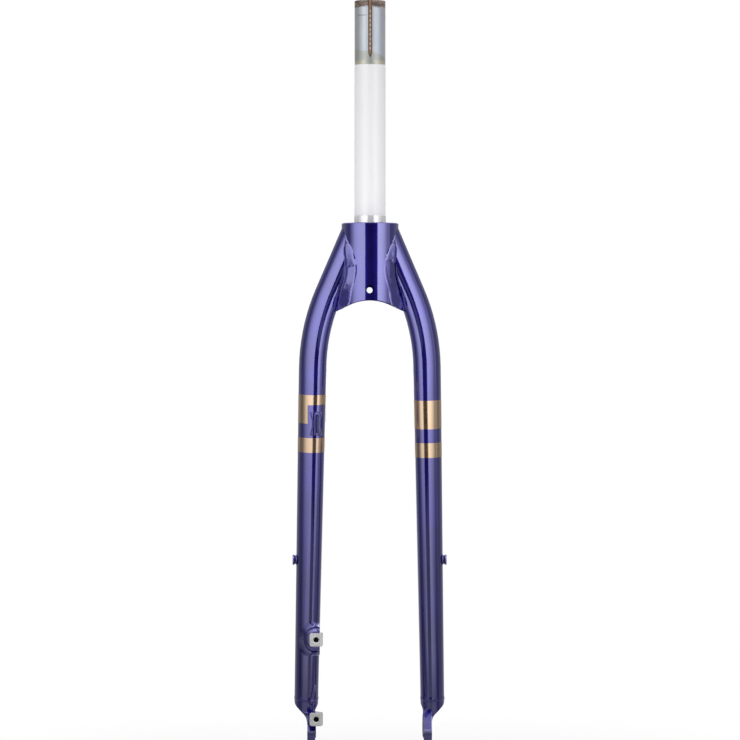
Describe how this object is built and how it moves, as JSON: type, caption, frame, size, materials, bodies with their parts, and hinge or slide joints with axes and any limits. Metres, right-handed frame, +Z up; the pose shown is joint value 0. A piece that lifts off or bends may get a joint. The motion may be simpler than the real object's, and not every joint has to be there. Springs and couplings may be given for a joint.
{
  "type": "rigid bicycle fork",
  "caption": "Painted steel bicycle fork with a bare threadless steerer, bent round blades, caliper posts and slotted wheel ends.",
  "frame": {"origin": "centre of the crown shoulder that the headset's crown race sits on", "axes": "+Z up along the steerer axis, +Y forwards, the way the blades are raked, +X to the rider's right"},
  "size_m": [0.1438, 0.0882, 0.6892],
  "materials": {
    "violet_paint": "gloss candy",
    "bare_steel": "turned, rust at the top",
    "white_film": "satin",
    "gold_band": "metallic decal"
  },
  "bodies": {
    "root": {"steerer_tube": "bare_steel", "steerer_sleeve": "white_film", "crown": "violet_paint", "left_blade": "violet_paint", "right_blade": "violet_paint", "left_rear_weld": "violet_paint", "left_front_weld": "violet_paint", "right_rear_weld": "violet_paint", "right_front_weld": "violet_paint", "left_dropout": "violet_paint", "right_dropout": "violet_paint", "left_dropout_weld": "violet_paint", "right_dropout_weld": "violet_paint", "caliper_upper_post": "violet_paint", "caliper_post_weld": "violet_paint", "hose_guide": "violet_paint", "left_blade_boss": "violet_paint", "right_blade_boss": "violet_paint", "left_upper_band": "gold_band", "left_lower_band": "gold_band", "right_upper_band": "gold_band", "right_lower_band": "gold_band"}
  },
  "joints": []
}
